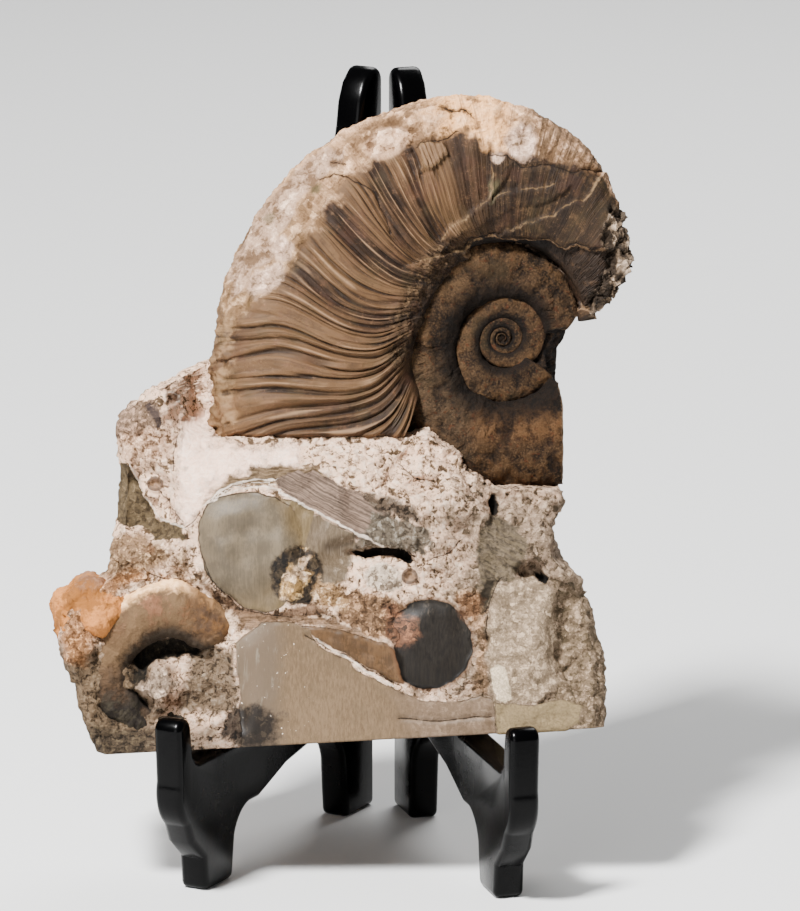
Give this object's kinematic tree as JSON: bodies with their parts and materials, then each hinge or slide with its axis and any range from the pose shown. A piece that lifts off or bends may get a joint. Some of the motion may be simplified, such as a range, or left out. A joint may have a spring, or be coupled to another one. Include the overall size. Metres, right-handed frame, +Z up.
{
  "type": "fossil ammonite on a folding easel",
  "caption": "Broken ribbed ammonite standing out of its block of rock, with cut polished sections, leaning back on a small folding plastic easel.",
  "frame": {"origin": "middle of the whole object's outline on the table, at the height of the easel's feet", "axes": "+Z up, +X to the viewer's right; the shell's face and the polished sections look towards -Y and lean back"},
  "size_m": [0.0942, 0.0704, 0.1255],
  "materials": {
    "stone": "brown ribbed shell in rough pinkish cream rock with greige polished sections",
    "easel": "glossy black moulded plastic"
  },
  "bodies": {
    "root": {"ammonite_stone": "stone", "easel_left_leaf": "easel"},
    "right_leaf": {"easel_right_leaf": "easel"}
  },
  "joints": [
    {"name": "easel_fold", "type": "hinge", "parent": "root", "child": "right_leaf", "pos_m": [0.00709, 0.03206, 0.06], "axis": [0, 0, 1], "range_deg": [-44, 28]}
  ]
}
